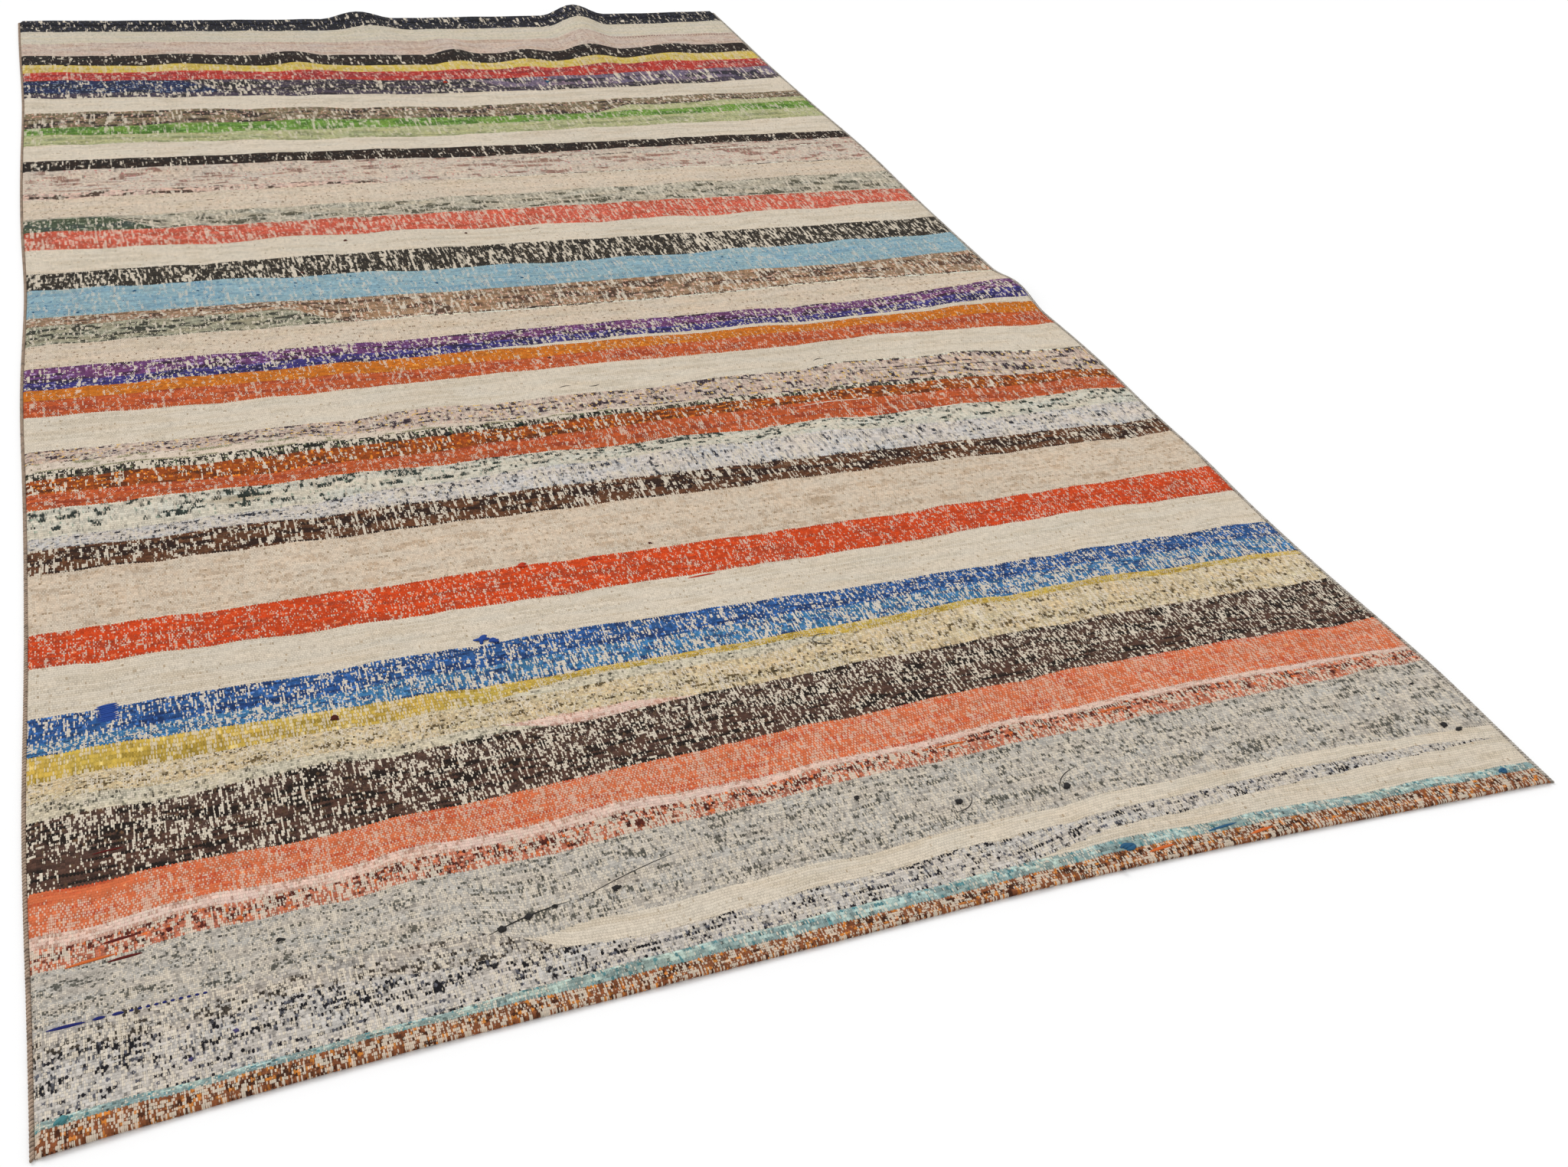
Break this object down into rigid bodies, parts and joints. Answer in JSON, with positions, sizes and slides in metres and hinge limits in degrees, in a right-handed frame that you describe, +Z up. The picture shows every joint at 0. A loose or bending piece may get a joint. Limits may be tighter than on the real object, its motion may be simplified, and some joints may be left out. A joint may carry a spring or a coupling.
{
  "type": "rag rug",
  "caption": "Long flat hand-woven rag rug of uneven cross stripes, with turned-under hems at both ends and overcast side edges.",
  "frame": {"origin": "on the floor, under the middle of the rug's box", "axes": "+X across the rug to its right side, +Y along it to its far end, +Z up"},
  "size_m": [1.8488, 3.34, 0.0339],
  "materials": {
    "rag_weave": "matt plain weave of rag yarns in cross stripes over cream cotton warps",
    "edging_yarn": "matt beige yarn, whipped closely over the edge"
  },
  "bodies": {
    "root": {"rug_cloth": "rag_weave", "edging_left": "edging_yarn", "edging_right": "edging_yarn"}
  },
  "joints": []
}
